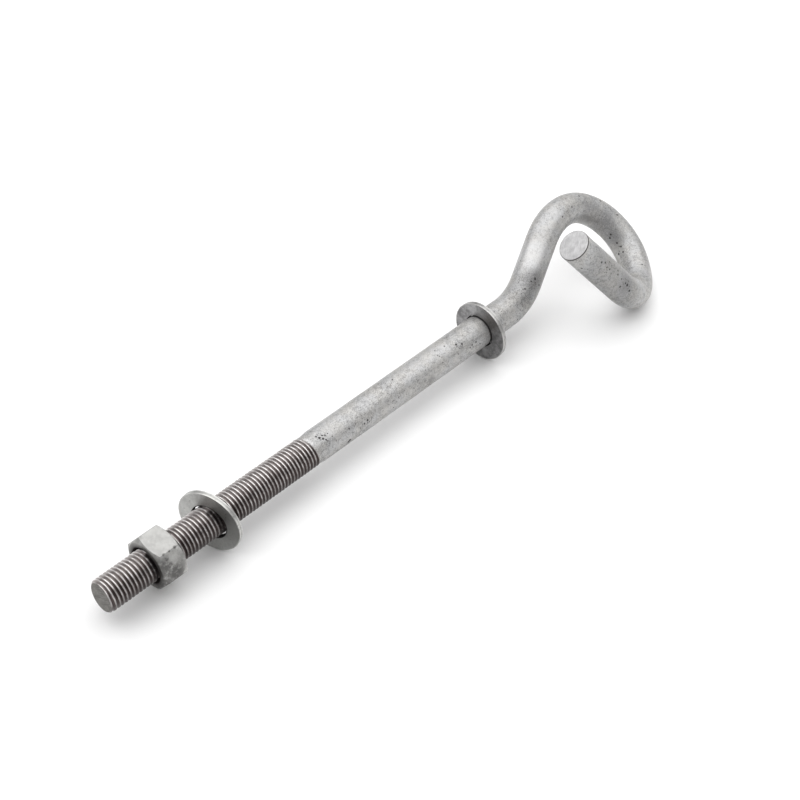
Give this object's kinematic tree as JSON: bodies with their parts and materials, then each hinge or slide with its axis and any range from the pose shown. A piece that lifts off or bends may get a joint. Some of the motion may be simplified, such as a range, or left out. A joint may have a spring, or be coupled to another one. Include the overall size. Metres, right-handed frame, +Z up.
{
  "type": "pigtail bolt",
  "caption": "Galvanised pigtail bolt: a round bar with a threaded end, hex nut and loose flat washers, bent at the other end into an open spiral eye for a cable clamp.",
  "frame": {"origin": "middle of the bolt's threaded tip face, on the bolt's axis", "axes": "+X along the straight bar from the threaded tip to the eye, +Z up as the bolt lies on the floor, +Y to the left seen from the tip"},
  "size_m": [0.3602, 0.0668, 0.0661],
  "materials": {
    "galvanised_bar": "hot-dip galvanised, matt, pitted",
    "galvanised_nut": "hot-dip galvanised, matt",
    "galvanised_washer": "hot-dip galvanised, matt"
  },
  "bodies": {
    "bolt": {"pigtail_bolt": "galvanised_bar"},
    "nut": {"hex_nut": "galvanised_nut"},
    "washer_at_nut": {"nut_washer": "galvanised_washer"},
    "washer_at_hook": {"hook_washer": "galvanised_washer"}
  },
  "joints": [
    {"name": "nut_travel", "type": "slide", "parent": "bolt", "child": "nut", "axis": [1, 0, 0], "range_m": [-0.0249, 0.0195]},
    {"name": "nut_washer_slide", "type": "slide", "parent": "bolt", "child": "washer_at_nut", "axis": [1, 0, 0], "range_m": [0, 0.052]},
    {"name": "hook_washer_slide", "type": "slide", "parent": "bolt", "child": "washer_at_hook", "axis": [1, 0, 0], "range_m": [-0.115, 0.0153]}
  ]
}
